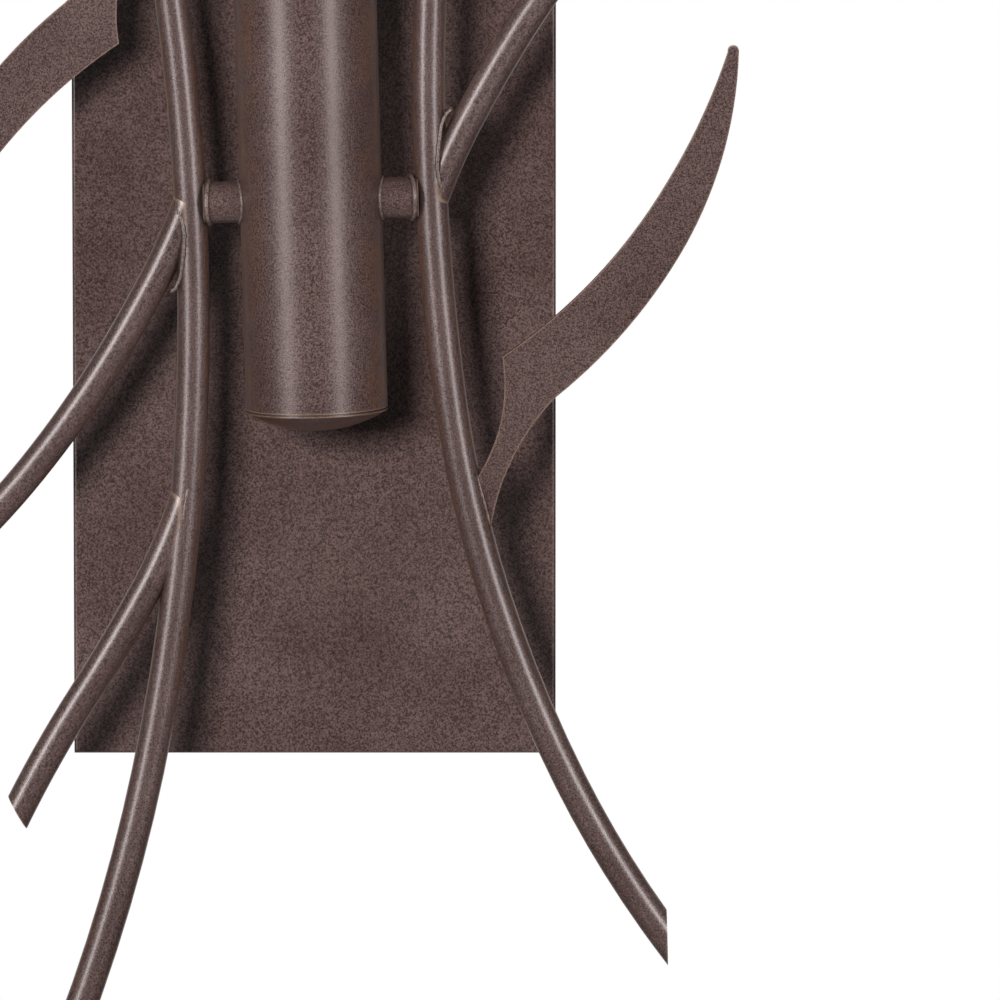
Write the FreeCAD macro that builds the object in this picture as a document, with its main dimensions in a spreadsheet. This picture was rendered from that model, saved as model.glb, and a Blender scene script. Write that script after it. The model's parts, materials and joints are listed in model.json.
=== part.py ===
import FreeCAD, Part
import math
import os
import re
import Sketcher

# A wall sconce in the form of a torch between two bent twigs: a pressed wall plate, an arm,
# a leaning steel tube with a glass flame above it, and rods and blades welded to its sides.
# Millimetres. The wall is the plane y = 0, the front faces -y and z is up. The origin is the
# middle of the plate on the wall. The torch has a frame of its own: its middle lies in front
# of the plate, and it leans a little about the arm.

V = FreeCAD.Vector

SIZES = {
    "plate_width": 120.6, "plate_height": 287.0, "plate_depth": 19.0, "plate_sheet": 1.2,
    "plate_bend": 0.9,
    "strap_width": 28.0, "strap_length": 112.0, "strap_sheet": 2.0,
    "box_spacing": 88.9, "box_hole_radius": 2.4, "wire_hole_radius": 7.0,
    "stud_spacing": 60.0, "stud_radius": 2.05, "stud_clear": 0.15, "stud_proud": 4.6,
    "nut_height": 3.0, "nut_radius": 4.7, "cap_nut_radius": 4.9, "cap_nut_height": 8.5,
    "earth_drop": 15.0, "earth_tail": 34.0, "earth_tail_drop": 14.0, "earth_head_radius": 4.1, "earth_shank_radius": 2.3,
    "torch_reach": 66.0, "torch_lean": 1.5,
    "arm_radius": 8.0, "arm_bore": 4.95,
    "pipe_radius": 4.8, "pipe_bore": 3.4, "pipe_clear": 0.15, "pipe_tail": 6.8,
    "pipe_length": 26.0, "pipe_nut_radius": 7.6, "washer_height": 1.0,
    "tube_radius": 17.45, "tube_wall": 1.6, "tube_foot": 51.2, "tube_top": 118.0,
    "tube_wire_hole": 4.4,
    "cap_spigot": 6.0, "cap_edge": 0.3, "cap_dome": 4.9, "cap_groove": 0.45,
    "cap_groove_depth": 0.8,
    "plug_height": 6.0,
    "cup_sheet": 1.5, "cup_waist": 22.0, "cup_ledge": 10.5, "cup_radius": 29.0,
    "cup_height": 34.0, "cup_bead": 1.2, "boss_radius": 4.2, "boss_reach": 32.0,
    "screw_radius": 2.0, "screw_clear": 0.12, "screw_height": 25.0, "screw_neck": 2.9,
    "screw_head_radius": 5.0, "screw_head": 5.5,
    "neck_radius": 26.0, "glass_wall": 3.0, "glass_neck": 20.0, "glass_length": 215.0,
    "glass_mouth": 62.0, "glass_swell_rise": 105.0, "glass_swell": 34.0,
    "riser_tail": 3.0, "riser_height": 12.6,
    "holder_radius": 10.5, "holder_foot": 122.7, "holder_web": 131.0, "holder_floor": 136.0,
    "holder_top": 163.0, "holder_bore": 7.2,
    "shell_radius": 6.8, "shell_wall": 0.6, "shell_length": 22.0,
    "lamp_base_radius": 5.8, "lamp_foot": 140.2, "lamp_collar": 161.0,
    "lamp_radius": 17.5, "lamp_swell": 196.0, "lamp_tip": 252.0, "lamp_wall": 0.8,
    "rod_radius": 4.0, "stem_offset": 29.6, "stem_foot_reach": 82.9, "stub_radius": 5.1,
    "blade_sheet": 3.0, "lead_radius": 1.2, "lead_offset": 1.5, "earth_wire_radius": 0.8,
    "wire_nut_radius": 5.0, "wire_nut_length": 17.0, "wire_nut_offset": 22.0,
}

# A bender's table for each rod: the lengths of its arcs and how far each one turns, in degrees,
# anticlockwise seen from the front. They lie in the plane of the torch's middle.
STEM_UP = [(50.0, -5.2), (80.0, -8.2), (80.0, -10.4)]
STEM_DOWN = [(50.0, 4.7), (50.0, 10.0), (50.0, 8.9), (56.0, 12.2)]
STEM_HEADING = 91.4
INNER_SHOOT = [(23.0, -8.5), (12.0, -1.5), (43.5, -9.6), (32.0, -9.0)]
INNER_SHOOT_START, INNER_SHOOT_HEADING = (29.6, -1.5), 69.1
OUTER_SHOOT = [(30.0, -12.5), (30.0, -4.3), (38.0, 7.0)]
OUTER_SHOOT_START, OUTER_SHOOT_HEADING = (31.5, 68.0), 72.7

# The blade's edge as arcs, each with its end and a point on the way. It starts at the heel,
# runs up the hollow side to the tip, back down the full side and along the rod to the heel.
BLADE_START = (45.9, -39.8)
BLADE_ARCS = [
    ((68.7, -21.5), (87.2, 1.7)), ((96.2, 17.5), (103.1, 33.7)),
    ((104.7, 35.3), (105.8, 33.6)), ((100.9, 7.2), (89.9, -16.2)),
    ((76.7, -33.6), (58.8, -50.1)), ((49.3, -62.2), (42.1, -81.4)),
    None, ((45.4, -54.5), (45.9, -39.8)),
]
BLADE_ROOT = [(38.6, -81.4), (35.4, -69.0), (39.3, -69.0)]

doc = FreeCAD.newDocument("torch_sconce")
sheet = doc.addObject("Spreadsheet::Sheet", "Sizes")
for row, (alias, size) in enumerate(SIZES.items(), 1):
    sheet.set("A%d" % row, alias)
    sheet.set("B%d" % row, str(size))
    sheet.setAlias("B%d" % row, alias)
doc.recompute()

TERM = re.compile(r"([+-]?)\s*(?:([\d.]+)\s*\*\s*)?([A-Za-z_]\w*|[\d.]+)")
PARTS = []


def value(text):
    """The number that a sum of sheet names and plain numbers comes to."""
    total = 0.0
    for sign, factor, term in TERM.findall(text):
        size = getattr(sheet, term) if term in SIZES else float(term)
        total += float(factor or 1.0) * (-size if sign == "-" else size)
    return total


def bind(thing, prop, text):
    """Tie a property to the same sum of sheet names."""
    expression = re.sub(r"[A-Za-z_]\w*", lambda found: "Sizes." + found.group(), text)
    thing.setExpression(prop, expression)


def keep(thing, label, torch=False):
    """Name a finished sub-part; a piece of the torch is moved into the torch's frame."""
    thing.Label = label
    if torch:
        thing.Placement = TORCH.multiply(thing.Placement)
    PARTS.append(thing)
    return thing


LEAN = FreeCAD.Rotation(V(0, 1, 0), -value("torch_lean"))
TORCH = FreeCAD.Placement(V(0, -value("torch_reach"), 0), LEAN)


def primitive(kind, name, centre, forward=None, **sizes):
    """A Part primitive whose axis starts at centre and runs along forward, +z if not given."""
    thing = doc.addObject("Part::" + kind, name)
    for prop, text in sizes.items():
        if isinstance(text, str):
            bind(thing, prop, text)
        else:
            setattr(thing, prop, text)
    turn = FreeCAD.Rotation(V(0, 0, 1), V(*forward)) if forward else FreeCAD.Rotation()
    thing.Placement = FreeCAD.Placement(V(*[value(text) for text in centre]), turn)
    for axis, text in zip("xyz", centre):
        bind(thing, "Placement.Base." + axis, text)
    return thing


def round_bar(name, centre, length, radius, forward=None):
    return primitive("Cylinder", name, centre, forward, Radius=radius, Height=length)


def hexagon(name, centre, length, radius, forward=None):
    return primitive("Prism", name, centre, forward, Polygon=6, Circumradius=radius,
                     Height=length)


def cut(name, base, *tools):
    """The base less its tools, one boolean cut for each."""
    for count, tool in enumerate(tools):
        result = doc.addObject("Part::Cut", "%s_cut_%d" % (name, count))
        result.Base, result.Tool = base, tool
        base = result
    return base


def fuse(name, *shapes):
    result = doc.addObject("Part::MultiFuse", name)
    result.Shapes = list(shapes)
    return result


def plane_of(body, role):
    for feature in body.Origin.OriginFeatures:
        if feature.Role == role:
            return feature


def sketch_on(body, name, role, height="0"):
    """A sketch on one of the body's own planes, raised along the plane's normal."""
    sketch = body.newObject("Sketcher::SketchObject", name)
    sketch.AttachmentSupport = [(plane_of(body, role), "")]
    sketch.MapMode = "FlatFace"
    bind(sketch, "AttachmentOffset.Base.z", height)
    return sketch


def rectangle(sketch, width, height):
    """A rectangle about the sketch's origin with both of its sizes bound."""
    w, t = value(width) / 2, value(height) / 2
    corners = [V(-w, -t, 0), V(w, -t, 0), V(w, t, 0), V(-w, t, 0)]
    for i in range(4):
        sketch.addGeometry(Part.LineSegment(corners[i], corners[(i + 1) % 4]), False)
    for i in range(4):
        sketch.addConstraint(Sketcher.Constraint("Coincident", i, 2, (i + 1) % 4, 1))
        kind = "Vertical" if i % 2 else "Horizontal"
        sketch.addConstraint(Sketcher.Constraint(kind, i))
    sketch.addConstraint(Sketcher.Constraint("Symmetric", 0, 1, 2, 1, -1, 1))
    across = sketch.addConstraint(Sketcher.Constraint("DistanceX", 0, 1, 0, 2, 2 * w))
    up = sketch.addConstraint(Sketcher.Constraint("DistanceY", 1, 1, 1, 2, 2 * t))
    bind(sketch, "Constraints[%d]" % across, width)
    bind(sketch, "Constraints[%d]" % up, height)


def circle(sketch, x, y, radius):
    """A circle whose centre and radius are bound."""
    centre = V(value(x), value(y), 0)
    i = sketch.addGeometry(Part.Circle(centre, V(0, 0, 1), value(radius)), False)
    size = sketch.addConstraint(Sketcher.Constraint("Radius", i, value(radius)))
    bind(sketch, "Constraints[%d]" % size, radius)
    for kind, text in (("DistanceX", x), ("DistanceY", y)):
        if value(text):
            place = sketch.addConstraint(Sketcher.Constraint(kind, -1, 1, i, 3, value(text)))
            bind(sketch, "Constraints[%d]" % place, text)
        else:
            axis = -2 if kind == "DistanceX" else -1
            sketch.addConstraint(Sketcher.Constraint("PointOnObject", i, 3, axis))


def extrude(body, kind, name, sketch, length, backward=False):
    feature = body.newObject("PartDesign::" + kind, name)
    feature.Profile = sketch
    feature.Reversed = backward
    bind(feature, "Length", length)
    return feature


def profile(sketch, points):
    """A closed outline of (across, up) points; a third entry is a point on the arc to it."""
    ends = [V(value(p[0]), value(p[1]), 0) for p in points]
    first, last = [], []
    for i, end in enumerate(ends):
        start, order = ends[i - 1], (1, 2)
        if len(points[i]) == 3:
            middle = V(value(points[i][2][0]), value(points[i][2][1]), 0)
            # A sketch keeps its arcs anticlockwise, so a clockwise one is drawn backwards.
            if (middle - start).cross(end - middle).z > 0:
                sketch.addGeometry(Part.ArcOfCircle(start, middle, end), False)
            else:
                sketch.addGeometry(Part.ArcOfCircle(end, middle, start), False)
                order = (2, 1)
        else:
            sketch.addGeometry(Part.LineSegment(start, end), False)
        first.append(order[0])
        last.append(order[1])
    count = len(ends)
    for i in range(count):
        sketch.addConstraint(Sketcher.Constraint("Coincident", i, last[i],
                                                 (i + 1) % count, first[(i + 1) % count]))
    for i, point in enumerate(points):
        for kind, text in (("DistanceX", point[0]), ("DistanceY", point[1])):
            place = sketch.addConstraint(Sketcher.Constraint(
                kind, -1, 1, i, last[i], value(text)))
            bind(sketch, "Constraints[%d]" % place, text)
        if len(point) == 3:
            sketch.addConstraint(Sketcher.Constraint("Radius", i, sketch.Geometry[i].Radius))


def turned(label, points, torch=True):
    """A body turned about its own z axis from a half outline of (radius, height) points."""
    body = doc.addObject("PartDesign::Body", label)
    sketch = sketch_on(body, label + "_outline", "XZ_Plane")
    profile(sketch, points)
    spin = body.newObject("PartDesign::Revolution", label + "_turned")
    spin.Profile = sketch
    spin.ReferenceAxis = (sketch, ["V_Axis"])
    spin.Angle = 360.0
    doc.recompute()
    return keep(body, label, torch)


def solid_of(label, shape, torch=True):
    """A sub-part whose solid comes from Part's own functions."""
    thing = doc.addObject("Part::Feature", label)
    thing.Shape = shape
    return keep(thing, label, torch)


# ---------------------------------------------------------------- wall side

def back_plate():
    """The plate, pressed into a shallow pan that is open towards the wall."""
    body = doc.addObject("PartDesign::Body", "backplate")
    outer = sketch_on(body, "plate_face", "XZ_Plane")
    rectangle(outer, "plate_width", "plate_height")
    pad = extrude(body, "Pad", "plate_block", outer, "plate_depth")
    doc.recompute()
    if pad.Shape.BoundBox.YMax > 1:
        pad.Reversed = True
    inner = sketch_on(body, "plate_hollow", "XZ_Plane")
    rectangle(inner, "plate_width - 2*plate_sheet", "plate_height - 2*plate_sheet")
    hollow = extrude(body, "Pocket", "plate_pan", inner, "plate_depth - plate_sheet")
    holes = sketch_on(body, "plate_holes", "XZ_Plane")
    circle(holes, "0", "0", "pipe_radius + 0.4")
    circle(holes, "0", "0.5*stud_spacing", "stud_radius + stud_clear")
    circle(holes, "0", "-0.5*stud_spacing", "stud_radius + stud_clear")
    pierced = extrude(body, "Pocket", "plate_pierced", holes, "plate_depth + 1")
    for feature in (hollow, pierced):
        before = body.Shape.Volume
        feature.Reversed = True
        doc.recompute()
        if body.Shape.Volume > before - 1.0:
            feature.Reversed = False
            doc.recompute()
    front = -value("plate_depth")
    edges = []
    for i, edge in enumerate(pierced.Shape.Edges, 1):
        box = edge.BoundBox
        if abs(box.YMin - front) < 1e-4 and abs(box.YMax - front) < 1e-4 and edge.Length > 10 * value("pipe_radius"):
            edges.append("Edge%d" % i)
    bend = body.newObject("PartDesign::Fillet", "plate_bends")
    bend.Base = (pierced, edges)
    bind(bend, "Radius", "plate_bend")
    keep(body, "backplate")


def mounting_strap():
    """The strap that is screwed to the wall box and carries the plate's studs."""
    body = doc.addObject("PartDesign::Body", "mounting_strap")
    face = sketch_on(body, "strap_face", "XZ_Plane")
    rectangle(face, "strap_width", "strap_length")
    for sign in ("", "-"):
        circle(face, "0", sign + "0.5*box_spacing", "box_hole_radius")
        circle(face, "0", sign + "0.5*stud_spacing", "stud_radius + stud_clear")
    circle(face, "0", "0", "wire_hole_radius")
    circle(face, "0", "-earth_drop", "earth_shank_radius + stud_clear")
    pad = extrude(body, "Pad", "strap_sheet", face, "strap_sheet")
    doc.recompute()
    if pad.Shape.BoundBox.YMax > 1:
        pad.Reversed = True
    keep(body, "mounting_strap")


def plate_fixings():
    """Above and below: a stud, the nut that locks it and the domed nut on the plate."""
    front = (0, -1, 0)
    for name, height in (("upper", "0.5*stud_spacing"), ("lower", "-0.5*stud_spacing")):
        stud = round_bar("stud_" + name, ("0", "0", height), "plate_depth + stud_proud",
                         "stud_radius", front)
        keep(stud, "plate_stud_" + name)
        nut = hexagon("nut_" + name, ("0", "-strap_sheet", height), "nut_height",
                      "nut_radius", front)
        bore = round_bar("nut_bore_" + name, ("0", "0", height), "20",
                         "stud_radius + stud_clear", front)
        keep(cut("stud_nut_" + name, nut, bore), "stud_nut_" + name)
        body = turned("cap_nut_" + name, [
            ("stud_radius + stud_clear", "0"), ("cap_nut_radius - 0.5", "0"),
            ("cap_nut_radius", "0.5"), ("cap_nut_radius", "3"),
            ("0.5", "cap_nut_height", ("cap_nut_radius - 1.1", "6.6")),
            ("0", "cap_nut_height"), ("0", "stud_proud + 0.4"), ("stud_radius + stud_clear", "stud_proud + 0.4")],
            torch=False)
        body.Placement = FreeCAD.Placement(
            V(0, -value("plate_depth"), value(height)), FreeCAD.Rotation(V(0, 0, 1), V(*front)))
        bind(body, "Placement.Base.y", "-plate_depth")
        bind(body, "Placement.Base.z", height)


def earth_bond():
    """The earthing screw in the strap and the bare wire under its head."""
    front = (0, -1, 0)
    head = hexagon("earth_head", ("0", "-strap_sheet - 2*earth_wire_radius", "-earth_drop"),
                   "nut_height", "earth_head_radius", front)
    shank = round_bar("earth_shank", ("0", "-0.2", "-earth_drop"),
                      "strap_sheet + 2*earth_wire_radius", "earth_shank_radius", front)
    keep(fuse("earth_screw_solid", head, shank), "earth_screw")
    r = value("earth_wire_radius")
    y, z = -value("strap_sheet") - r, -value("earth_drop")
    loop = value("earth_shank_radius") + r + 0.1
    hook = Part.Arc(V(-loop, y, z), V(0, y, z + loop), V(loop, y, z)).toShape()
    start = V(-loop, y, z - 2 * r)
    across, down = value("earth_tail"), value("earth_tail_drop")
    tail = Part.Arc(start, V(-0.38 * across, y, z - 0.75 * down),
                    V(-across, y, z - down)).toShape()
    wire = Part.Wire([hook, Part.makeLine(V(-loop, y, z), start), tail])
    solid_of("earth_wire", sweep(wire, r), torch=False)


# ---------------------------------------------------------------- swept rods and wires

def sweep(wire, radius):
    """A round bar along a wire, with flat ends square to it."""
    edge = wire.OrderedEdges[0]
    start = edge.valueAt(edge.FirstParameter)
    ahead = edge.tangentAt(edge.FirstParameter)
    if edge.Orientation == "Reversed":
        start, ahead = edge.valueAt(edge.LastParameter), -edge.tangentAt(edge.LastParameter)
    ring = Part.Wire(Part.makeCircle(radius, start, ahead))
    shape = wire.makePipeShell([ring], True, False)
    if shape.Volume < 0:
        shape.reverse()
    return shape


def rod_wire(start, heading, bends, back=False):
    """The middle line of a bent rod: arcs that follow one another smoothly."""
    x, z = start
    angle = math.radians(heading)
    edges = []
    for length, turn in bends:
        turn = math.radians(turn)
        points = []
        for share in (0.5, 1.0):
            chord = 2 * length / turn * math.sin(turn * share / 2)
            mean = angle + turn * share / 2
            points.append(V(x + chord * math.cos(mean), 0, z + chord * math.sin(mean)))
        edges.append(Part.Arc(V(x, 0, z), points[0], points[1]).toShape())
        x, z, angle = points[1].x, points[1].z, angle + turn
    return edges, (x, z), math.degrees(angle)


def beyond(point, normal_angle):
    """A block that takes away everything past a plane square to the torch's plane."""
    size = 10 * value("rod_radius")
    block = Part.makeBox(size, size, size, V(0, -size / 2, -size / 2))
    turn = FreeCAD.Rotation(V(0, -1, 0), normal_angle)
    block.Placement = FreeCAD.Placement(V(point[0], 0, point[1]), turn).multiply(
        block.Placement)
    return block


def biggest(shape):
    return max(shape.Solids, key=lambda solid: solid.Volume)


def twig_pieces():
    """The right-hand twig in the torch's frame: stem, stub, two shoots and the blade."""
    radius = value("rod_radius")
    start = (value("stem_offset"), 0.0)
    up, top, heading_up = rod_wire(start, STEM_HEADING, STEM_UP)
    down, foot, heading_down = rod_wire(start, STEM_HEADING + 180, STEM_DOWN)
    stem = sweep(Part.Wire(Part.__sortEdges__(up + down)), radius)
    stem = stem.cut(beyond((value("stem_foot_reach"), foot[1] + radius), 0.0))
    stem = biggest(stem.cut(beyond((top[0] - 0.35 * radius, top[1] - radius), heading_up + 38)))
    pieces = {"stem": stem}
    tube_radius = value("tube_radius")
    tube = Part.makeCylinder(tube_radius, 2 * tube_radius, V(0, 0, -tube_radius))
    stub = Part.makeCylinder(value("stub_radius"), start[0] - 0.8 * radius - tube_radius / 2,
                             V(tube_radius / 2, 0, 0), V(1, 0, 0))
    pieces["stub"] = biggest(stub.cut(tube).cut(stem))
    shoots = (("inner_shoot", INNER_SHOOT_START, INNER_SHOOT_HEADING, INNER_SHOOT, 50),
              ("outer_shoot", OUTER_SHOOT_START, OUTER_SHOOT_HEADING, OUTER_SHOOT, -35))
    for name, origin, heading, bends, slant in shoots:
        edges, end, last = rod_wire(origin, heading, bends)
        shoot = sweep(Part.Wire(edges), radius - 0.15)
        back = math.radians(last)
        trim = 1.1 * radius
        mark = (end[0] - trim * math.cos(back), end[1] - trim * math.sin(back))
        shoot = shoot.cut(beyond(mark, last + slant)).cut(stem).cut(pieces["stub"])
        pieces[name] = biggest(shoot)
    edges, at = [], V(BLADE_START[0], 0, BLADE_START[1])
    for arc in BLADE_ARCS:
        if arc is None:
            for x, z in BLADE_ROOT:
                edges.append(Part.makeLine(at, V(x, 0, z)))
                at = V(x, 0, z)
            continue
        (mx, mz), (x, z) = arc
        edges.append(Part.Arc(at, V(mx, 0, mz), V(x, 0, z)).toShape())
        at = V(x, 0, z)
    thick = value("blade_sheet")
    blade = Part.Face(Part.Wire(edges)).extrude(V(0, thick, 0))
    blade.translate(V(0, -thick / 2, 0))
    pieces["blade"] = biggest(blade.cut(stem))
    return pieces


def twigs():
    """Both twigs: the left one is the right one turned half a turn about the arm."""
    for side, angle in (("right", 0), ("left", 180)):
        for name, shape in twig_pieces().items():
            shape.rotate(V(0, 0, 0), V(0, 1, 0), angle)
            solid_of("%s_%s" % (name, side), shape)


# ---------------------------------------------------------------- arm and tube

def arm():
    """The round arm, its end hollowed to fit the tube, and the threaded pipe through it."""
    back = (0, -1, 0)
    reach = "torch_reach - plate_depth"
    bar = round_bar("arm_bar", ("0", reach, "0"), reach, "arm_radius", back)
    bore = round_bar("arm_hole", ("0", reach, "0"), reach, "arm_bore", back)
    saddle = round_bar("arm_saddle", ("0", "0", "-30"), "60", "tube_radius")
    keep(cut("arm", bar, bore, saddle), "arm", torch=True)
    tail = "torch_reach - plate_depth + plate_sheet + pipe_tail"
    pipe = round_bar("pipe_bar", ("0", tail, "0"), "pipe_length", "pipe_radius", back)
    hole = round_bar("pipe_hole", ("0", tail, "0"), "pipe_length", "pipe_bore", back)
    keep(cut("arm_pipe", pipe, hole), "arm_pipe", torch=True)
    inside = "torch_reach - plate_depth + plate_sheet"
    ring = round_bar("washer_disc", ("0", inside + " + washer_height", "0"), "washer_height",
                     "pipe_nut_radius", back)
    eye = round_bar("washer_eye", ("0", inside + " + washer_height", "0"), "washer_height",
                    "pipe_radius + pipe_clear", back)
    keep(cut("arm_washer", ring, eye), "arm_washer", torch=True)
    nut_back = inside + " + washer_height + nut_height"
    nut = hexagon("pipe_nut", ("0", nut_back, "0"), "nut_height", "pipe_nut_radius", back)
    bored = round_bar("pipe_nut_hole", ("0", nut_back, "0"), "nut_height",
                      "pipe_radius + pipe_clear", back)
    keep(cut("arm_nut", nut, bored), "arm_nut", torch=True)


def torch_tube():
    """The tube with the hole for the wires behind it, its domed end and its top plug."""
    bar = round_bar("tube_bar", ("0", "0", "-tube_foot"), "tube_foot + tube_top",
                    "tube_radius")
    bore = round_bar("tube_bore", ("0", "0", "-tube_foot"), "tube_foot + tube_top",
                     "tube_radius - tube_wall")
    eye = round_bar("tube_eye", ("0", "0", "0"), "tube_radius + 4", "tube_wire_hole",
                    (0, 1, 0))
    keep(cut("torch_tube", bar, bore, eye), "torch_tube", torch=True)
    turned("end_cap", [
        ("0", "-tube_foot + cap_spigot"),
        ("0", "-tube_foot - cap_groove - cap_edge - cap_dome"),
        ("tube_radius", "-tube_foot - cap_groove - cap_edge",
         ("0.5*tube_radius", "-tube_foot - cap_groove - cap_edge - 0.757*cap_dome")),
        ("tube_radius", "-tube_foot - cap_groove"),
        ("tube_radius - cap_groove_depth", "-tube_foot - cap_groove"),
        ("tube_radius - cap_groove_depth", "-tube_foot"),
        ("tube_radius - tube_wall - 0.1", "-tube_foot"),
        ("tube_radius - tube_wall - 0.1", "-tube_foot + cap_spigot")])
    turned("top_plug", [
        ("pipe_radius + pipe_clear", "tube_top - plug_height"),
        ("tube_radius - tube_wall - 0.1", "tube_top - plug_height"),
        ("tube_radius - tube_wall - 0.1", "tube_top"),
        ("pipe_radius + pipe_clear", "tube_top")])


# ---------------------------------------------------------------- cup, glass and lamp

def cup_and_riser():
    """The spun cup with its three bosses, held to the plug by a threaded riser."""
    shell = turned("cup_shell", [
        ("pipe_radius + pipe_clear", "tube_top"),
        ("cup_waist - 3", "tube_top"),
        ("cup_waist", "tube_top + cup_ledge"),
        ("cup_radius", "tube_top + cup_ledge"),
        ("cup_radius", "tube_top + cup_height - 2*cup_bead"),
        ("cup_radius", "tube_top + cup_height",
         ("cup_radius + 0.8*cup_bead", "tube_top + cup_height - cup_bead")),
        ("cup_radius - cup_sheet", "tube_top + cup_height"),
        ("cup_radius - cup_sheet", "tube_top + cup_ledge + cup_sheet"),
        ("cup_waist - 1.2", "tube_top + cup_ledge + cup_sheet"),
        ("cup_waist - 4.2", "tube_top + cup_sheet"),
        ("pipe_radius + pipe_clear", "tube_top + cup_sheet")], torch=False)
    PARTS.remove(shell)
    level = "tube_top + screw_height"
    bosses, holes = [], []
    for name, angle in SCREWS:
        out = (math.cos(math.radians(angle)), math.sin(math.radians(angle)), 0)
        bosses.append(round_bar("boss_" + name, ("0", "0", level), "boss_reach",
                                "boss_radius", out))
        holes.append(round_bar("boss_hole_" + name, ("0", "0", level), "boss_reach + 1",
                               "screw_radius + screw_clear", out))
    clear = round_bar("cup_clear", ("0", "0", "tube_top"), "cup_height + 10",
                      "cup_radius - 0.7")
    ring = cut("boss_ring", fuse("bosses", *bosses), clear)
    cup = cut("glass_cup", fuse("cup_solid", shell, ring), *holes)
    keep(cup, "glass_cup", torch=True)
    foot = "tube_top - plug_height - nut_height - riser_tail"
    length = "riser_height + plug_height + nut_height + riser_tail"
    riser = round_bar("riser_bar", ("0", "0", foot), length, "pipe_radius")
    hole = round_bar("riser_hole", ("0", "0", foot), length, "pipe_bore")
    keep(cut("cup_riser", riser, hole), "cup_riser", torch=True)
    for name, foot in (("lower", "tube_top - plug_height - nut_height"),
                       ("upper", "tube_top + cup_sheet")):
        nut = hexagon("riser_nut_" + name, ("0", "0", foot), "nut_height", "pipe_nut_radius")
        bore = round_bar("riser_nut_hole_" + name, ("0", "0", foot), "nut_height",
                         "pipe_radius + pipe_clear")
        keep(cut("cup_nut_" + name, nut, bore), "cup_nut_" + name, torch=True)


SCREWS = (("front", -90), ("right", 30), ("left", 150))


def thumb_screws():
    """Three knurled screws that hold the glass by its neck."""
    for name, angle in SCREWS:
        body = doc.addObject("PartDesign::Body", "thumb_screw_" + name)
        sketch = sketch_on(body, "screw_outline_" + name, "XZ_Plane")
        profile(sketch, [
            ("0", "neck_radius + 0.2"), ("screw_radius", "neck_radius + 0.2"),
            ("screw_radius", "boss_reach + 0.3"), ("screw_neck", "boss_reach + 0.3"),
            ("screw_neck", "boss_reach + 1.8"),
            ("screw_head_radius - 0.6", "boss_reach + 1.8"),
            ("screw_head_radius", "boss_reach + 2.4"),
            ("screw_head_radius", "boss_reach + 1.2 + screw_head"),
            ("screw_head_radius - 0.6", "boss_reach + 1.8 + screw_head"),
            ("0.5", "boss_reach + 2.4 + screw_head", ("2.5", "boss_reach + 2.2 + screw_head")),
            ("0", "boss_reach + 2.4 + screw_head")])
        spin = body.newObject("PartDesign::Revolution", "screw_turned_" + name)
        spin.Profile = sketch
        spin.ReferenceAxis = (sketch, ["V_Axis"])
        spin.Angle = 360.0
        doc.recompute()
        out = V(math.cos(math.radians(angle)), math.sin(math.radians(angle)), 0)
        body.Placement = FreeCAD.Placement(V(0, 0, value("tube_top + screw_height")),
                                           FreeCAD.Rotation(V(0, 0, 1), out))
        keep(body, "thumb_screw_" + name, torch=True)


def glass_shade():
    """The flared glass: a straight neck in the cup, then a trumpet that opens upwards."""
    foot = "tube_top + cup_ledge + cup_sheet"
    neck = foot + " + glass_neck"
    swell = foot + " + glass_neck + glass_swell_rise"
    top = foot + " + glass_length"
    turned("glass_shade", [
        ("neck_radius - glass_wall", foot), ("neck_radius", foot), ("neck_radius", neck),
        ("glass_mouth", top, ("glass_swell", swell)),
        ("glass_mouth - glass_wall + 0.2", top + " + 1",
         ("glass_mouth - 1.1", top + " + 1.9")),
        ("neck_radius - glass_wall", neck + " + 1", ("glass_swell - 2.95", swell + " + 1"))])


def lamp_holder():
    """A small screw holder on the riser, its threaded shell and its centre contact."""
    turned("lamp_holder", [
        ("pipe_radius + pipe_clear", "holder_foot"), ("holder_radius - 1", "holder_foot"),
        ("holder_radius", "holder_foot + 1"), ("holder_radius", "holder_top - 1"),
        ("holder_radius - 1", "holder_top"), ("holder_bore", "holder_top"),
        ("holder_bore", "holder_floor"), ("0", "holder_floor"), ("0", "holder_web"),
        ("pipe_radius + pipe_clear", "holder_web")])
    turned("holder_shell", [
        ("shell_radius - shell_wall", "holder_floor"), ("shell_radius", "holder_floor"),
        ("shell_radius", "holder_floor + shell_length"),
        ("shell_radius - shell_wall", "holder_floor + shell_length")])
    turned("holder_contact", [
        ("0", "holder_floor"), ("3", "holder_floor"), ("3", "holder_floor + 0.6"),
        ("0.4", "holder_floor + 1.9", ("1.8", "holder_floor + 1.5")),
        ("0", "holder_floor + 1.9")])


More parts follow.
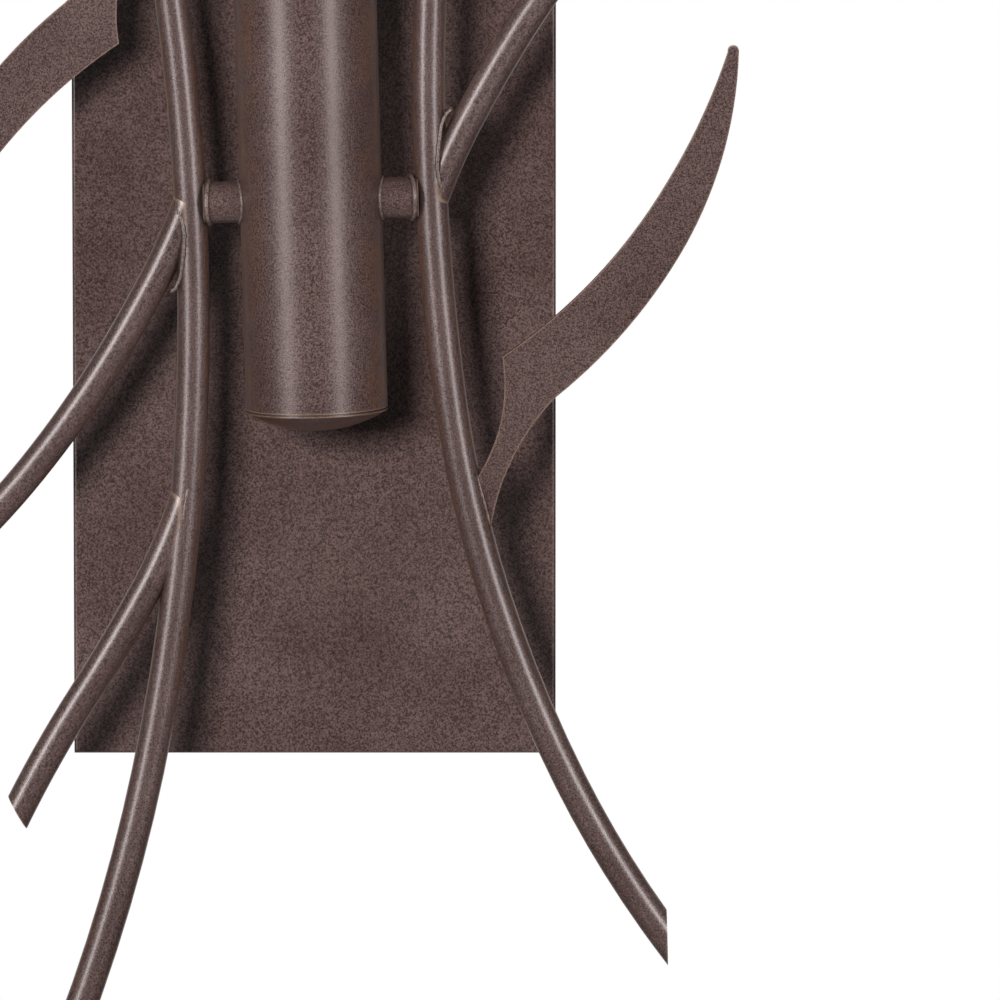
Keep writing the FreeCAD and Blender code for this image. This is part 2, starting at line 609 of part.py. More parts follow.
def lamp():
    """A candle lamp: a screw base and a thin flame-shaped envelope."""
    turned("lamp_base", [
        ("0", "lamp_foot - 2"), ("1.9", "lamp_foot - 1.6"), ("2.1", "lamp_foot"),
        ("lamp_base_radius - 1.2", "lamp_foot"),
        ("lamp_base_radius", "lamp_foot + 2"), ("lamp_base_radius", "lamp_collar - 1"),
        ("lamp_base_radius + 0.6", "lamp_collar"), ("0", "lamp_collar")])
    wall = " - lamp_wall"
    turned("lamp_glass", [
        ("lamp_base_radius - 1" + wall, "lamp_collar",
         ("lamp_radius - 5.4", "0.5*lamp_collar + 0.5*lamp_swell")),
        ("lamp_base_radius - 1", "lamp_collar"),
        ("lamp_radius", "lamp_swell",
         ("lamp_radius - 4.6", "0.5*lamp_collar + 0.5*lamp_swell")),
        ("2.2", "lamp_tip - 3", ("lamp_radius - 4.9", "0.5*lamp_swell + 0.5*lamp_tip + 2")),
        ("0.3", "lamp_tip"), ("0", "lamp_tip"), ("0", "lamp_tip - 3.6"),
        ("0.5", "lamp_tip - 3.6"),
        ("lamp_radius" + wall, "lamp_swell",
         ("lamp_radius - 5.6", "0.5*lamp_swell + 0.5*lamp_tip + 1.6"))])


def leads():
    """Two insulated wires: from the holder down the tube, back through the arm to the box."""
    radius = value("lead_radius")
    top = value("holder_web") - 0.2
    back = value("torch_reach") - 6.2
    bend, corner = 13.0, 4.5
    for name, sign in (("black", 1), ("white", -1)):
        x = sign * value("lead_offset")
        s = math.sqrt(0.5)
        low = Part.Arc(V(x, 0, bend), V(x, bend - bend * s, bend - bend * s),
                       V(x, bend, 0)).toShape()
        turn = Part.Arc(V(x, back - corner, 0),
                        V(x + sign * corner * (1 - s), back - corner * (1 - s), 0),
                        V(x + sign * corner, back, 0)).toShape()
        end = V(sign * (value("wire_nut_offset") + 6), back, 0)
        wire = Part.Wire([
            Part.makeLine(V(x, 0, top), V(x, 0, bend)), low,
            Part.makeLine(V(x, bend, 0), V(x, back - corner, 0)), turn,
            Part.makeLine(V(x + sign * corner, back, 0), end)])
        solid_of("lead_" + name, sweep(wire, radius))
        nut = turned("wire_nut_" + name, [
            ("lead_radius + 0.3", "0"), ("wire_nut_radius", "0"),
            ("wire_nut_radius - 0.4", "5"), ("wire_nut_radius - 1.8", "wire_nut_length - 1"),
            ("wire_nut_radius - 2.6", "wire_nut_length"), ("0", "wire_nut_length"),
            ("0", "7"), ("lead_radius + 0.3", "7")], torch=False)
        place = FreeCAD.Placement(V(sign * value("wire_nut_offset"), back, 0),
                                  FreeCAD.Rotation(V(0, 0, 1), V(sign, 0, 0)))
        nut.Placement = TORCH.multiply(place)


back_plate()
mounting_strap()
plate_fixings()
earth_bond()
arm()
torch_tube()
twigs()
cup_and_riser()
thumb_screws()
glass_shade()
lamp_holder()
lamp()
leads()
doc.recompute()

for thing in doc.Objects:
    if "Invalid" in thing.State or "Error" in thing.State:
        raise RuntimeError("failed object: %s %s" % (thing.Name, thing.State))
os.makedirs("parts", exist_ok=True)
for thing in PARTS:
    shape = thing.Shape
    if shape.isNull() or not shape.isValid() or not shape.Solids:
        raise RuntimeError("bad shape: " + thing.Label)
    shape.exportStep("parts/%s.step" % thing.Label)
    box = shape.BoundBox
    print("%-20s solids %d volume %9.1f x %7.1f %7.1f y %7.1f %7.1f z %7.1f %7.1f" % (
        thing.Label, len(shape.Solids), shape.Volume, box.XMin, box.XMax, box.YMin,
        box.YMax, box.ZMin, box.ZMax))
print(len(PARTS), "sub-parts")
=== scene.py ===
import bmesh
import bpy
import json
import math
from mathutils import Matrix, Vector


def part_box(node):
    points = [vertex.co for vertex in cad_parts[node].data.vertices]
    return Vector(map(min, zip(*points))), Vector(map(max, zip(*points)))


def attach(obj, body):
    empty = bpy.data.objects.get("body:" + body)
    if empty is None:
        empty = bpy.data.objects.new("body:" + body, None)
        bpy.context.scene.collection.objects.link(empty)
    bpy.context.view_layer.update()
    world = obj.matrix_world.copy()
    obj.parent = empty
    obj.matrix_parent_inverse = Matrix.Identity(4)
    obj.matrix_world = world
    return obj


# A torch sconce with two bent twigs, dressed for the picture. Lengths are in metres. The wall
# is y = 0, the viewer stands at negative y, and z is up.

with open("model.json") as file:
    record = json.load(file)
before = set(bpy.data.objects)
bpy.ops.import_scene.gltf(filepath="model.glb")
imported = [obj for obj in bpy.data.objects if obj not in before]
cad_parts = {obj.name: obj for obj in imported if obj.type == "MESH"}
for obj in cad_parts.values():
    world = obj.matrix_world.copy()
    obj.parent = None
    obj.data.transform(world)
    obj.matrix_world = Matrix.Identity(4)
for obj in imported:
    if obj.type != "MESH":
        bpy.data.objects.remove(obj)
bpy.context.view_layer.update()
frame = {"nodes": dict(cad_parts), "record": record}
NODES = frame["nodes"]

# ---------------------------------------------------------------- sizes

MM = 0.001
TORCH_REACH = 66.0 * MM            # the torch's middle, in front of the wall
LEAN = math.radians(1.5)           # the torch leans this much to the left
TUBE_RADIUS = 17.45 * MM
ARM_RADIUS = 8.0 * MM
STUB_RADIUS = 5.1 * MM
STUB_LIP_OUT = 24.7 * MM           # from the torch's middle to the lip at the rod
STUD_THREAD_RADIUS = 2.02 * MM
PIPE_THREAD_RADIUS = 4.78 * MM
SCREW_ANGLES = {"front": -90.0, "right": 30.0, "left": 150.0}
SCREW_UP = 143.0 * MM              # from the arm to the thumb screws
KNURL_OUT = 36.6 * MM              # from the torch's middle to the middle of a knurled band
KNURL_RADIUS = 5.12 * MM
KNURL_LENGTH = 4.4 * MM
LAMP_STEM_UP = 175.5 * MM          # from the arm to the middle of the lamp's glass stem
FILAMENT_UP = 214.0 * MM
FILAMENT_HALF_WIDTH = 8.0 * MM

# The torch's own frame: its middle line is z, and x runs to the viewer's right.
TORCH = Matrix.Translation((0, -TORCH_REACH, 0)) @ Matrix.Rotation(-LEAN, 4, "Y")
# Half a turn about the arm, which makes the left twig from the right one.
FLIP = TORCH @ Matrix.Rotation(math.pi, 4, "Y") @ TORCH.inverted()

# The arm's place in the picture, and the pixels that a millimetre takes in the torch's plane.
ARM_ACROSS, ARM_DOWN = 311.0, 200.0
PIXELS_ACROSS, PIXELS_DOWN = 4.063, 4.035

# ---------------------------------------------------------------- camera

PHOTO_TILT = math.radians(6.7)
CAMERA_AWAY = 3.0
AIM = Vector((46.37 * MM, -19.0 * MM, -79.63 * MM))

camera_data = bpy.data.cameras.new("camera")
camera = bpy.data.objects.new("camera", camera_data)
bpy.context.scene.collection.objects.link(camera)
camera_data.sensor_width = 36.0
camera_data.lens = 432.0
camera_data.clip_end = 60.0
ahead = Vector((0, math.cos(PHOTO_TILT), -math.sin(PHOTO_TILT)))
camera.location = AIM - ahead * CAMERA_AWAY
camera.rotation_euler = (math.pi / 2 - PHOTO_TILT, 0, 0)
bpy.context.scene.camera = camera
bpy.context.scene.view_settings.view_transform = "Standard"

# ---------------------------------------------------------------- node helpers


def new_material(name, **principled):
    """A material whose Principled BSDF has these socket values; returns it and its tree."""
    material = bpy.data.materials.new(name)
    material.use_nodes = True
    tree = material.node_tree
    shader = tree.nodes["Principled BSDF"]
    for socket, value in principled.items():
        shader.inputs[socket.replace("_", " ")].default_value = value
    return material, tree, shader


def feed(tree, node, inputs):
    """Values or links put into a node's inputs, by name or number."""
    for socket, value in inputs.items():
        if isinstance(value, bpy.types.NodeSocket):
            tree.links.new(value, node.inputs[socket])
        else:
            node.inputs[socket].default_value = value
    return node


def add(tree, kind, inputs=None, **settings):
    """A node with its settings and with values or links put into its inputs."""
    node = tree.nodes.new(kind)
    for name, value in settings.items():
        setattr(node, name, value)
    return feed(tree, node, inputs or {})


def maths(tree, operation, first, second=0.0, clamp=False):
    return add(tree, "ShaderNodeMath", {0: first, 1: second}, operation=operation,
               use_clamp=clamp).outputs[0]


def spread(tree, value, low, high, to_low=0.0, to_high=1.0):
    """The value mapped from one range onto another and kept inside it."""
    return add(tree, "ShaderNodeMapRange", {
        "Value": value, "From Min": low, "From Max": high,
        "To Min": to_low, "To Max": to_high}).outputs["Result"]


def blend_colours(tree, mask, first, second, kind="MIX"):
    """The first colour where the mask is 0, and the second where it is 1."""
    node = add(tree, "ShaderNodeMix", {0: mask, 6: first, 7: second}, data_type="RGBA",
               blend_type=kind)
    return node.outputs[2]


def noise(tree, where, scale, detail=2.0, roughness=0.5):
    return add(tree, "ShaderNodeTexNoise", {
        "Vector": where, "Scale": scale, "Detail": detail,
        "Roughness": roughness}).outputs["Fac"]


def group(name, inputs, outputs):
    """An empty shader group with named inputs and outputs, given as (name, type, value)."""
    tree = bpy.data.node_groups.new(name, "ShaderNodeTree")
    for socket, kind, value in inputs:
        made = tree.interface.new_socket(name=socket, in_out="INPUT",
                                         socket_type="NodeSocket" + kind)
        if value is not None:
            made.default_value = value
    for socket, kind in outputs:
        tree.interface.new_socket(name=socket, in_out="OUTPUT", socket_type="NodeSocket" + kind)
    return tree, tree.nodes.new("NodeGroupInput"), tree.nodes.new("NodeGroupOutput")


def place(tree, grouped, **inputs):
    """A shader group put into a material, with its inputs by name."""
    return add(tree, "ShaderNodeGroup", inputs, node_tree=grouped)


def where_on(tree):
    """The point on the object, in metres."""
    return add(tree, "ShaderNodeTexCoord").outputs["Object"]


def roughen(tree, shader, mask, low, high, rough):
    """The roughness, which goes from one value to the other as the mask goes from low to high."""
    tree.links.new(spread(tree, mask, low, high, *rough), shader.inputs["Roughness"])


def raise_bumps(tree, shader, height, strength, distance):
    """Small bumps in the surface, from a height."""
    bump = add(tree, "ShaderNodeBump", {
        "Strength": strength, "Distance": distance, "Height": height})
    tree.links.new(bump.outputs["Normal"], shader.inputs["Normal"])


def cloud_colour(tree, shader, where, scale, darkest, colour):
    """A colour that drifts a little darker in soft clouds."""
    cloud = noise(tree, where, scale, 3.0)
    low = tuple(darkest * c for c in colour) + (1,)
    tree.links.new(blend_colours(tree, spread(tree, cloud, 0.35, 0.65), low, colour + (1,)),
                   shader.inputs["Base Color"])


# ---------------------------------------------------------------- shared effects

def make_grain():
    """Fine grit in a sprayed coat: a speckled tint and a height for bumps."""
    tree, start, end = group("coat_grain", [
        ("Vector", "Vector", None), ("Grit per metre", "Float", 2500.0)],
        [("Speckle", "Float"), ("Height", "Float"), ("Cloud", "Float")])
    where = start.outputs["Vector"]
    fine = noise(tree, where, start.outputs["Grit per metre"], 3.0, 0.6)
    broad = noise(tree, where, 260.0, 2.0, 0.5)
    cloud = noise(tree, where, 38.0, 3.0, 0.55)
    tree.links.new(spread(tree, fine, 0.38, 0.62), end.inputs["Speckle"])
    tree.links.new(maths(tree, "ADD", maths(tree, "MULTIPLY", fine, 0.65),
                         maths(tree, "MULTIPLY", broad, 0.35)), end.inputs["Height"])
    tree.links.new(spread(tree, cloud, 0.36, 0.64), end.inputs["Cloud"])
    return tree


def make_edges():
    """Where the surface turns a corner: 1 on the corner and 0 away from it."""
    tree, start, end = group("corner_rub", [("Reach", "Float", 0.0008)],
                             [("Mask", "Float")])
    rounded = add(tree, "ShaderNodeBevel", {"Radius": start.outputs["Reach"]}, samples=6)
    plain = add(tree, "ShaderNodeNewGeometry")
    same = add(tree, "ShaderNodeVectorMath", {
        0: rounded.outputs["Normal"], 1: plain.outputs["Normal"]}, operation="DOT_PRODUCT")
    tree.links.new(spread(tree, same.outputs["Value"], 0.995, 0.86), end.inputs["Mask"])
    return tree


def make_painted_side_sheen():
    """Painted warm sheen on faces turned to the left or the right, broken into patches."""
    tree, start, end = group("painted_side_sheen", [("Vector", "Vector", None)], [("Mask", "Float")])
    across = add(tree, "ShaderNodeSeparateXYZ", {
        0: add(tree, "ShaderNodeNewGeometry").outputs["Normal"]}).outputs["X"]
    sideways = spread(tree, maths(tree, "ABSOLUTE", across), 0.62, 0.92)
    patches = spread(tree, noise(tree, start.outputs["Vector"], 85.0, 4.0, 0.6), 0.38, 0.60)
    tree.links.new(maths(tree, "MULTIPLY", sideways, patches), end.inputs["Mask"])
    return tree


def make_painted_crevice_shade():
    """Painted shade in corners, from ambient occlusion: 1 on open faces and 0 deep in a joint."""
    tree, start, end = group("painted_crevice_shade", [("Reach", "Float", 0.003)], [("Open", "Float")])
    hidden = add(tree, "ShaderNodeAmbientOcclusion", {"Distance": start.outputs["Reach"]},
                 samples=6)
    tree.links.new(spread(tree, hidden.outputs["AO"], 0.35, 0.9), end.inputs["Open"])
    return tree


GRAIN = make_grain()
EDGES = make_edges()
PAINTED_SIDE_SHEEN = make_painted_side_sheen()
PAINTED_CREVICE_SHADE = make_painted_crevice_shade()

# ---------------------------------------------------------------- finishes


def coated_steel(name="bronze_coat", tint=(0.132, 0.084, 0.077), rub=0.6, gloss=0.55):
    """Satin dark bronze powder coat with fine grit, a warm rub on its corners, a painted warm
    sheen on faces turned left or right and painted shade in its corners.
    """
    material, tree, shader = new_material(
        name, Metallic=0.15, Specular_IOR_Level=gloss, Sheen_Weight=0.06, Sheen_Roughness=0.3,
        Sheen_Tint=(0.7, 0.28, 0.1, 1))
    where = where_on(tree)
    grain = place(tree, GRAIN, Vector=where)
    dark = tuple(0.42 * c for c in tint) + (1,)
    light = tuple(1.7 * c for c in tint) + (1,)
    colour = blend_colours(tree, grain.outputs["Speckle"], dark, light)
    warm = (0.72, 0.66, 0.66, 1)
    colour = blend_colours(tree, maths(tree, "MULTIPLY", grain.outputs["Cloud"], 0.8), colour,
                           blend_colours(tree, 1.0, colour, warm, "MULTIPLY"))
    corner = place(tree, EDGES)
    worn = maths(tree, "MULTIPLY", corner.outputs["Mask"], rub)
    colour = blend_colours(tree, worn, colour, (0.44, 0.29, 0.22, 1))
    # Painted sheen: an orange-brown tint laid on faces turned to the left or the right, standing
    # in for a warm rim sheen.
    sides = place(tree, PAINTED_SIDE_SHEEN, Vector=where)
    painted_sheen = maths(tree, "MULTIPLY", sides.outputs["Mask"],
                 spread(tree, grain.outputs["Speckle"], 0.2, 0.9, 0.1, 0.8))
    colour = blend_colours(tree, painted_sheen, colour, (0.25, 0.105, 0.05, 1))
    # Painted shade: the colour goes near black deep in corners and joints, where little light
    # reaches.
    crevice_shade = place(tree, PAINTED_CREVICE_SHADE)
    painted_shade = spread(tree, crevice_shade.outputs["Open"], 0.0, 1.0, 0.75, 0.0)
    colour = blend_colours(tree, painted_shade, colour, (0.02, 0.012, 0.012, 1))
    tree.links.new(colour, shader.inputs["Base Color"])
    roughen(tree, shader, grain.outputs["Speckle"], 0.0, 1.0, (0.32, 0.42))
    raise_bumps(tree, shader, grain.outputs["Height"], 0.35, 0.12 * MM)
    return material


def plain_metal(name, colour, roughness):
    """Bare or plated metal with fine streaks across it."""
    material, tree, shader = new_material(name, Metallic=1.0)
    where = where_on(tree)
    stretched = add(tree, "ShaderNodeMapping", {"Vector": where, "Scale": (1, 1, 6)})
    streaks = noise(tree, stretched.outputs["Vector"], 900.0, 4.0)
    cloud_colour(tree, shader, where, 120.0, 0.8, colour)
    roughen(tree, shader, streaks, 0.3, 0.7, (0.75 * roughness, 1.25 * roughness))
    raise_bumps(tree, shader, streaks, 0.2, 0.05 * MM)
    return material


def moulded(name, colour, roughness):
    """Moulded plastic, phenolic or paint with a fine skin."""
    material, tree, shader = new_material(name)
    where = where_on(tree)
    skin = noise(tree, where, 1800.0)
    cloud_colour(tree, shader, where, 160.0, 0.86, colour)
    roughen(tree, shader, skin, 0.3, 0.7, (0.85 * roughness, 1.15 * roughness))
    raise_bumps(tree, shader, skin, 0.15, 0.05 * MM)
    return material


def etched_glass():
    """Warm white etched glass: light passes softly, with faint clouds and seeds."""
    material, tree, shader = new_material(
        "shade_glass", IOR=1.5, Transmission_Weight=0.35, Specular_IOR_Level=0.5)
    where = where_on(tree)
    drift = add(tree, "ShaderNodeTexNoise", {"Vector": where, "Scale": 14.0, "Detail": 6.0,
                                             "Roughness": 0.62, "Distortion": 1.6})
    seeds = noise(tree, where, 1500.0)
    colour = blend_colours(tree, spread(tree, drift.outputs["Fac"], 0.36, 0.62),
                           (0.80, 0.63, 0.40, 1), (0.93, 0.87, 0.74, 1))
    tree.links.new(colour, shader.inputs["Base Color"])
    roughen(tree, shader, seeds, 0.3, 0.7, (0.38, 0.5))
    raise_bumps(tree, shader, seeds, 0.15, 0.08 * MM)
    return material


def clear_glass():
    """Thin clear glass with a faint unevenness in its gloss."""
    material, tree, shader = new_material(
        "lamp_glass", IOR=1.45, Transmission_Weight=1.0, Base_Color=(0.97, 0.97, 0.97, 1))
    roughen(tree, shader, noise(tree, where_on(tree), 60.0), 0.3, 0.7, (0.03, 0.07))
    return material


ROD_COAT = coated_steel("rod_coat", gloss=0.95)
# A lighter copy of the coat for the weld beads and stub lips: a painted highlight on their
# ridges.
WELD_COAT_PAINTED_HIGHLIGHT = coated_steel("weld_coat_painted_highlight", (0.21, 0.160, 0.142), 0.2)
FINISHES = {
    "bronze_coat": coated_steel(),
    "plated_steel": plain_metal("plated_steel", (0.62, 0.6, 0.55), 0.38),
    "brass": plain_metal("brass", (0.72, 0.53, 0.26), 0.3),
    "copper_wire": plain_metal("copper_wire", (0.72, 0.36, 0.2), 0.35),
    "green_steel": moulded("green_steel", (0.03, 0.26, 0.08), 0.4),
    "phenolic": moulded("phenolic", (0.02, 0.017, 0.015), 0.3),
    "wire_black": moulded("wire_black", (0.02, 0.02, 0.02), 0.5),
    "wire_white": moulded("wire_white", (0.75, 0.73, 0.68), 0.5),
    "nut_plastic": moulded("nut_plastic", (0.72, 0.24, 0.04), 0.42),
    "shade_glass": etched_glass(),
    "lamp_glass": clear_glass(),
}

for part in frame["record"]["subparts"]:
    thing = NODES[part["node"]]
    bent_rod = part["node"].startswith(("stem_", "inner_shoot_", "outer_shoot_"))
    finish = ROD_COAT if bent_rod else FINISHES[part["material_slot"]]
    if thing.data.materials:
        for i in range(len(thing.material_slots)):
            thing.material_slots[i].material = finish
    else:
        thing.data.materials.append(finish)

# ---------------------------------------------------------------- welds, threads and knurls


def on_picture(across, down, proud):
    """A point in front of the torch's plane, from its place in the picture in pixels."""
    return Vector(((across - ARM_ACROSS) / PIXELS_ACROSS * MM, -TORCH_REACH - proud * MM,
                   (ARM_DOWN - down) / PIXELS_DOWN * MM))


def finish_piece(mesh, name, slot, body):
    """A mesh made into a piece with its slot's finish, or the lighter weld coat with its painted
    highlight, riding on a body.
    """
    finish = WELD_COAT_PAINTED_HIGHLIGHT if "weld" in name or "lip" in name else FINISHES[slot]
    data = bpy.data.meshes.new(name)
    bmesh.ops.recalc_face_normals(mesh, faces=mesh.faces)
    mesh.to_mesh(data)
    mesh.free()
    data.materials.append(finish)
    for face in data.polygons:
        face.use_smooth = True
    piece = bpy.data.objects.new(name, data)
    bpy.context.scene.collection.objects.link(piece)
    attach(piece, body)
    return piece


def round_wire(name, points, radius, slot, body="fixture", closed=False, ripple=1.0, steps=1,
               sides=2, smooth=False):
    """A round wire or weld bead through the points; a ripple below 1 thins every other one."""
    path = []
    last = len(points) if closed else len(points) - 1
    for i in range(last):
        start, end = points[i], points[(i + 1) % len(points)]
        path += [start.lerp(end, k / steps) for k in range(steps)]
    if not closed:
        path.append(points[-1])
    data = bpy.data.curves.new(name, "CURVE")
    data.dimensions, data.bevel_depth, data.bevel_resolution = "3D", radius, sides
    data.use_fill_caps = True
    spline = data.splines.new("NURBS" if smooth else "POLY")
    spline.points.add(len(path) - 1)
    for i, (knot, point) in enumerate(zip(spline.points, path)):
        knot.co = (*point, 1.0)
        knot.radius = ripple if i % 2 else 1.0
        if not closed and ripple < 1.0 and i in (0, len(path) - 1):
            knot.radius = 0.45
    spline.use_cyclic_u = closed
    if smooth:
        spline.order_u = 3
        spline.use_endpoint_u = not closed
    shape = bpy.data.objects.new(name + "_line", data)
    bpy.context.scene.collection.objects.link(shape)
    bpy.context.view_layer.update()
    evaluated = shape.evaluated_get(bpy.context.evaluated_depsgraph_get())
    mesh = bmesh.new()
    made = bpy.data.meshes.new_from_object(evaluated)
    mesh.from_mesh(made)
    bpy.data.objects.remove(shape)
    bpy.data.meshes.remove(made)
    bmesh.ops.remove_doubles(mesh, verts=mesh.verts, dist=1e-6)
    return finish_piece(mesh, name, slot, body)


def ring_points(count, at):
    """Points round a ring, from a function of the angle."""
    return [at(2 * math.pi * k / count) for k in range(count)]


def both_faces(name, points, radius=0.62 * MM):
    """A weld bead on the front of a joint and the same one on its back."""
    behind = [Vector((p.x, -2 * TORCH_REACH - p.y, p.z)) for p in points]
    for side, line in (("front", points), ("back", behind)):
        round_wire("%s_%s" % (name, side), line, radius, "bronze_coat", ripple=0.72, steps=4)


def weld_twigs():
    """Beads along each joint of the right twig, and the same ones turned over for the left."""
    shoot = [on_picture(*p) for p in (
        (451.5, 109, 2.0), (446, 113, 2.6), (441, 124, 3.0), (438, 147, 3.6), (437, 166, 3.8),
        (439.5, 182, 3.6), (444, 193, 3.0))]
    blade = [on_picture(*p) for p in (
        (475, 470, 1.6), (479, 484, 1.9), (484, 502, 2.0), (490, 524, 1.7))]
    for side, turn in (("right", Matrix()), ("left", FLIP)):
        both_faces("shoot_weld_" + side, [turn @ p for p in shoot])
        both_faces("blade_weld_" + side, [turn @ p for p in blade], 0.5 * MM)
        fork = [turn @ (TORCH @ Vector(p)) for p in (
            (0.0347, -0.0030, 0.0845), (0.0339, -0.0034, 0.0795), (0.0330, -0.0037, 0.0745),
            (0.0322, -0.0038, 0.0695))]
        both_faces("fork_weld_" + side, fork, 0.55 * MM)


def weld_stubs():
    """Rings of weld where each stub meets the tube, and a flared lip at the rod."""
    bar = STUB_RADIUS
    for side, sign in (("right", 1), ("left", -1)):
        saddle = ring_points(28, lambda t: TORCH @ Vector((
            sign * (math.sqrt(TUBE_RADIUS ** 2 - (bar * math.cos(t)) ** 2) + 0.1 * MM),
            bar * math.cos(t), bar * math.sin(t))))
        round_wire("stub_weld_" + side, saddle, 0.6 * MM, "bronze_coat", closed=True,
                   ripple=0.8, steps=2)
        lip = ring_points(24, lambda t: TORCH @ Vector((
            sign * (STUB_LIP_OUT + 0.9 * MM * abs(math.cos(t))),
            (bar + 0.15 * MM) * math.cos(t),
            (bar + 0.15 * MM) * math.sin(t))))
        round_wire("stub_lip_" + side, lip, 0.65 * MM, "bronze_coat", closed=True,
                   ripple=0.85, steps=2)


def weld_arm():
    """A ring of weld where the arm meets the tube."""
    arm = ARM_RADIUS
    saddle = ring_points(36, lambda t: Vector((
        arm * math.cos(t),
        -TORCH_REACH + math.sqrt(TUBE_RADIUS ** 2 - (arm * math.cos(t)) ** 2) + 0.2 * MM,
        arm * math.sin(t))))
    round_wire("arm_weld_tube", saddle, 0.8 * MM, "bronze_coat", closed=True, ripple=0.8,
               steps=2)


def thread(name, middle, along, radius, length, pitch, slot, turned=None):
    """A fine ridge wound round a threaded piece."""
    across = along.orthogonal().normalized()
    other = along.cross(across)
    points_a_turn = 14
    count = int(length / pitch * points_a_turn)
    points = []
    for k in range(count + 1):
        t = 2 * math.pi * k / points_a_turn
        points.append(middle + along * (length * (k / count - 0.5))
                      + across * radius * math.cos(t) + other * radius * math.sin(t))
    if turned is not None:
        points = [turned @ p for p in points]
    return round_wire(name, points, 0.16 * MM, slot, sides=1)


def box_middle(node):
    """The middle and the size of a CAD node's box."""
    low, high = (Vector(corner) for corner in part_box(node))
    return (low + high) / 2, high - low


def thread_rods():
    """Threads on the plate's studs, the arm's pipe and the cup's riser."""
    for node, pitch, radius in (("plate_stud_upper", 0.8 * MM, STUD_THREAD_RADIUS),
                                ("plate_stud_lower", 0.8 * MM, STUD_THREAD_RADIUS),
                                ("arm_pipe", 1.0 * MM, PIPE_THREAD_RADIUS)):
        middle, size = box_middle(node)
        thread(node + "_thread", middle, Vector((0, 1, 0)), radius, size.y - 1.0 * MM, pitch,
               "plated_steel")
    middle, size = box_middle("cup_riser")
    thread("cup_riser_thread", Vector((0, 0, (TORCH.inverted() @ middle).z)),
           Vector((0, 0, 1)), PIPE_THREAD_RADIUS, size.z - 1.2 * MM, 1.0 * MM,
           "plated_steel", TORCH)


def bevelled_drum(sides, bottom, top, length, bevel, steps):
    """A round drum or cone along z, with both its rims bevelled."""
    mesh = bmesh.new()
    bmesh.ops.create_cone(mesh, cap_ends=True, segments=sides, radius1=bottom, radius2=top,
                          depth=length)
    rims = [edge for edge in mesh.edges
            if abs(edge.verts[0].co.z - edge.verts[1].co.z) < 1e-7]
    bmesh.ops.bevel(mesh, geom=rims, offset=bevel, offset_type="OFFSET", segments=steps,
                    profile=0.5, affect="EDGES", material=-1)
    return mesh


def fluted_drum(name, centre, along, radius, length, teeth, depth, slot, body,
                crown=0.35 * MM):
    """A drum with flutes cut along it and a small chamfer at each end."""
    mesh = bevelled_drum(teeth * 2, radius, radius, length, crown, 1)
    for vert in mesh.verts:
        turn = math.atan2(vert.co.y, vert.co.x) / (2 * math.pi) * teeth * 2
        if math.hypot(vert.co.x, vert.co.y) > radius - 1e-6 and round(turn) % 2:
            vert.co.x *= 1 - depth / radius
            vert.co.y *= 1 - depth / radius
    spin = Vector((0, 0, 1)).rotation_difference(along).to_matrix().to_4x4()
    bmesh.ops.transform(mesh, matrix=Matrix.Translation(centre) @ spin, verts=mesh.verts)
    piece = finish_piece(mesh, name, slot, body)
    for face in piece.data.polygons:
        face.use_smooth = False
    return piece


def knurl_screws():
    """Knurled bands on the three thumb screws."""
    for side, angle in SCREW_ANGLES.items():
        out = Vector((math.cos(math.radians(angle)), math.sin(math.radians(angle)), 0))
        centre = TORCH @ (out * KNURL_OUT + Vector((0, 0, SCREW_UP)))
        fluted_drum("screw_knurl_" + side, centre, (TORCH.to_3x3() @ out).normalized(),
                    KNURL_RADIUS, KNURL_LENGTH, 26, 0.3 * MM, "bronze_coat", "screw_" + side)


def ridge_wire_nuts():
    """Ribs round the middle of each wire nut, for the fingers."""
    for node in ("wire_nut_black", "wire_nut_white"):
        middle, size = box_middle(node)
        longest = max(range(3), key=lambda i: size[i])
        along = Vector([1.0 if i == longest else 0.0 for i in range(3)])
        radius = min(size[i] for i in range(3) if i != longest) / 2
        fluted_drum(node + "_ribs", middle, along, radius + 0.25 * MM, size[longest] * 0.42, 9,
                    0.45 * MM, "nut_plastic", "fixture", 0.6 * MM)


def fill_lamp():
    """The lamp's glass stem, support wires and looped filament."""
    mesh = bevelled_drum(32, 4.2 * MM, 2.0 * MM, 24 * MM, 0.8 * MM, 3)
    bmesh.ops.transform(mesh, matrix=TORCH @ Matrix.Translation((0, 0, LAMP_STEM_UP)),
                        verts=mesh.verts)
    finish_piece(mesh, "lamp_stem", "lamp_glass", "lamp")
    for side, sign in (("right", 1), ("left", -1)):
        line = [TORCH @ Vector((sign * x * MM, 0, z * MM))
                for x, z in ((1.0, 186.0), (1.4, 194.0), (4.5, 204.0), (8.0, 214.0))]
        round_wire("lamp_support_" + side, line, 0.3 * MM, "plated_steel", "lamp", smooth=True)
    bends = 16
    loops = [TORCH @ Vector((FILAMENT_HALF_WIDTH * (2 * k / bends - 1),
                             (0.9 if k % 2 else -0.9) * MM,
                             FILAMENT_UP + (7.0 * MM if k % 4 in (1, 2) else 0.0)))
             for k in range(bends + 1)]
    round_wire("lamp_filament", loops, 0.22 * MM, "copper_wire", "lamp", smooth=True)


weld_twigs()
weld_stubs()
weld_arm()
thread_rods()
knurl_screws()
ridge_wire_nuts()
fill_lamp()

# ---------------------------------------------------------------- floor, light and world

FLOOR_MIDDLE = Vector((0, -0.05, -0.95))
FLOOR_RADIUS = 0.6

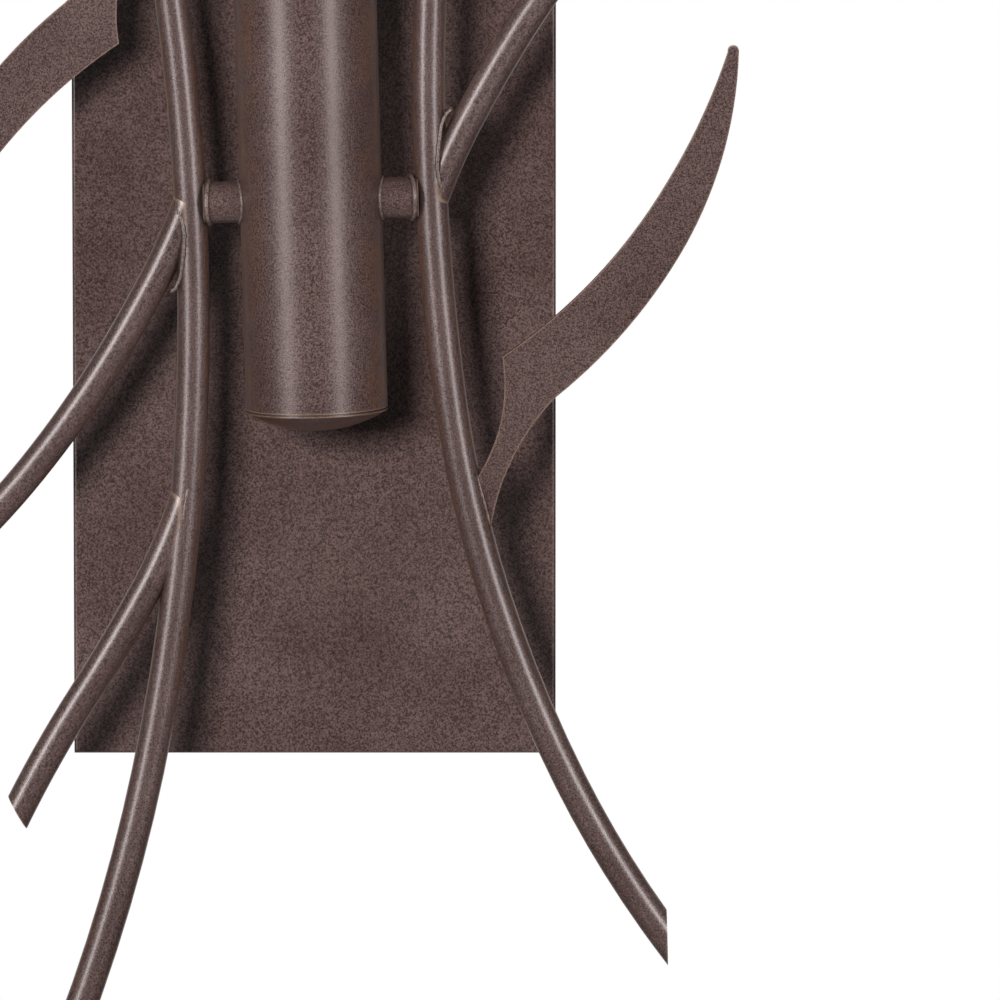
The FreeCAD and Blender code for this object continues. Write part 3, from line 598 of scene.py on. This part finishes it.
floor_mesh = bmesh.new()
bmesh.ops.create_circle(floor_mesh, cap_ends=True, segments=96, radius=FLOOR_RADIUS,
                        matrix=Matrix.Translation(FLOOR_MIDDLE))
floor_data = bpy.data.meshes.new("floor")
floor_mesh.to_mesh(floor_data)
floor_mesh.free()
floor = bpy.data.objects.new("floor", floor_data)
bpy.context.scene.collection.objects.link(floor)
floor_finish, tree, shader = new_material(
    "floor", Base_Color=(0.86, 0.86, 0.86, 1), Roughness=0.85, Specular_IOR_Level=0.1)
# The floor fades out towards its rim, so that no edge of it shows.
away = add(tree, "ShaderNodeVectorMath", {0: where_on(tree), 1: FLOOR_MIDDLE},
           operation="DISTANCE")
tree.links.new(spread(tree, away.outputs["Value"], 0.2, FLOOR_RADIUS - 0.02, 1.0, 0.0),
               shader.inputs["Alpha"])
floor_data.materials.append(floor_finish)

AMBIENT = 0.02                     # the light from all round

world = bpy.data.worlds.new("studio")
bpy.context.scene.world = world
world.use_nodes = True
tree = world.node_tree
tree.nodes.clear()
rays = add(tree, "ShaderNodeLightPath")
heading = add(tree, "ShaderNodeSeparateXYZ", {
    0: add(tree, "ShaderNodeTexCoord").outputs["Generated"]}).outputs["Y"]
# The backdrop is white to the camera and through glass. Metal mirrors that white where it
# lies behind the object, and a dim room in front.
seen = maths(tree, "MAXIMUM", rays.outputs["Is Camera Ray"],
             rays.outputs["Is Transmission Ray"])
mirrored = spread(tree, heading, 0.6, 0.95, AMBIENT, 1.0)
lit = spread(tree, rays.outputs["Is Glossy Ray"], 0.0, 1.0, AMBIENT, mirrored)
strength = spread(tree, seen, 0.0, 1.0, lit, 1.0)
sky = add(tree, "ShaderNodeBackground", {"Color": (1, 1, 1, 1), "Strength": strength})
tree.links.new(sky.outputs[0], add(tree, "ShaderNodeOutputWorld").inputs["Surface"])

LIGHT_AIM = Vector((0.02, -0.05, -0.05))
LIGHT_AWAY = 1.6


def softbox(name, azimuth, elevation, width, height, watts, glossy=True, diffuse=True):
    """A soft light. Azimuth 0 is in front of the object and 90 to its right."""
    data = bpy.data.lights.new(name, "AREA")
    data.shape, data.size, data.size_y, data.energy = "RECTANGLE", width, height, watts
    lamp = bpy.data.objects.new(name, data)
    a, e = math.radians(azimuth), math.radians(elevation)
    spot = LIGHT_AIM + LIGHT_AWAY * Vector((
        math.sin(a) * math.cos(e), -math.cos(a) * math.cos(e), math.sin(e)))
    turn = (LIGHT_AIM - spot).to_track_quat("-Z", "Y")
    lamp.matrix_world = Matrix.Translation(spot) @ turn.to_matrix().to_4x4()
    lamp.visible_glossy = glossy
    lamp.visible_diffuse = diffuse
    bpy.context.scene.collection.objects.link(lamp)


softbox("key", -10, 10, 0.24, 0.24, 23.0, glossy=False)
softbox("right_fill", 50, 24, 0.35, 0.35, 4.0, glossy=False)
softbox("left_strip", -44, 12, 0.30, 0.9, 17.5, diffuse=False)
softbox("right_strip", 40, 12, 0.28, 0.9, 14.0, diffuse=False)
softbox("rear_fill", 180, 50, 1.2, 1.2, 18.0)
